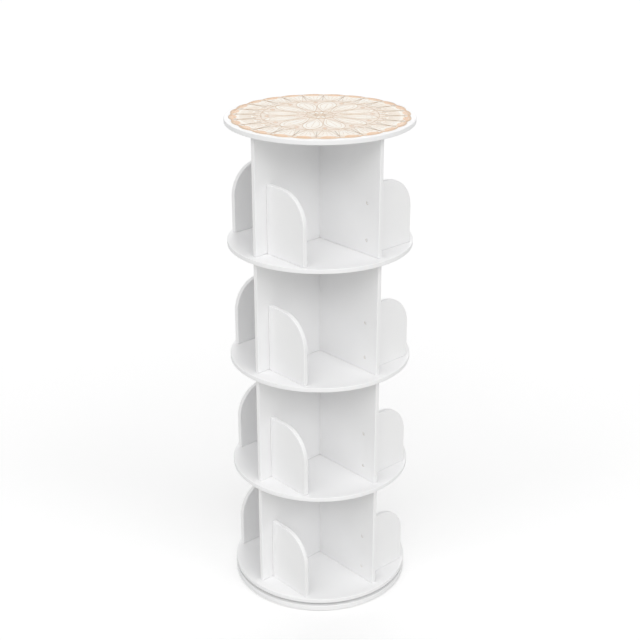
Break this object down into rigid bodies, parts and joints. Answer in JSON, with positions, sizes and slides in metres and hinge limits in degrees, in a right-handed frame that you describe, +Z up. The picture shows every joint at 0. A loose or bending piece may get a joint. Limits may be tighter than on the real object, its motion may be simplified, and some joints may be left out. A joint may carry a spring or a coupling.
{
  "type": "revolving bookcase",
  "caption": "Tall round revolving bookcase: open tiers with crossed dividers and rounded bookends, turning on a ball bearing over a low base disc.",
  "frame": {"origin": "on the floor, at the middle of the round footprint, on the turning axis", "axes": "+Z up along the turning axis; +X and +Y along the two crossed dividers of each tier at rest"},
  "size_m": [0.4, 0.4, 1.0972],
  "materials": {
    "painted_board": "satin white paint",
    "lace_mat": "woven mat with a radial lace pattern in peach and cream",
    "bearing_ring": "turned, bright",
    "bearing_ball": "polished",
    "cage_nylon": "natural nylon",
    "zinc_screw": "zinc plated",
    "painted_screw": "white",
    "beech_dowel": "plain turned beech",
    "felt_pad": "pressed felt"
  },
  "bodies": {
    "base": {"floor_pads": "felt_pad", "base_disc": "painted_board", "bearing_lower_ring": "bearing_ring", "lower_ring_screws": "zinc_screw"},
    "ball_race": {"ball_cage": "cage_nylon", "bearing_balls": "bearing_ball"},
    "tower": {"bearing_upper_ring": "bearing_ring", "upper_ring_screws": "zinc_screw", "bottom_screws": "zinc_screw", "top_screws": "zinc_screw", "top_board": "painted_board", "top_mat": "lace_mat", "shelf_1": "painted_board", "shelf_2": "painted_board", "shelf_3": "painted_board", "shelf_4": "painted_board", "divider_x_1": "painted_board", "divider_x_2": "painted_board", "divider_x_3": "painted_board", "divider_x_4": "painted_board", "divider_y_1": "painted_board", "divider_y_2": "painted_board", "divider_y_3": "painted_board", "divider_y_4": "painted_board", "bookend_1_1": "painted_board", "bookend_1_2": "painted_board", "bookend_1_3": "painted_board", "bookend_1_4": "painted_board", "bookend_2_1": "painted_board", "bookend_2_2": "painted_board", "bookend_2_3": "painted_board", "bookend_2_4": "painted_board", "bookend_3_1": "painted_board", "bookend_3_2": "painted_board", "bookend_3_3": "painted_board", "bookend_3_4": "painted_board", "bookend_4_1": "painted_board", "bookend_4_2": "painted_board", "bookend_4_3": "painted_board", "bookend_4_4": "painted_board", "bookend_screws_1": "painted_screw", "bookend_screws_2": "painted_screw", "bookend_screws_3": "painted_screw", "bookend_screws_4": "painted_screw", "dowels_2": "beech_dowel", "dowels_3": "beech_dowel", "dowels_4": "beech_dowel"}
  },
  "joints": [
    {"name": "tower_turn", "type": "hinge", "parent": "base", "child": "tower", "pos_m": [0, 0, 0.018], "axis": [0, 0, 1], "continuous": true},
    {"name": "ball_race_turn", "type": "hinge", "parent": "base", "child": "ball_race", "pos_m": [0, 0, 0.018], "axis": [0, 0, 1], "continuous": true}
  ],
  "couplings": [
    {"joint": "ball_race_turn", "follows": "tower_turn", "ratio": 0.493}
  ]
}
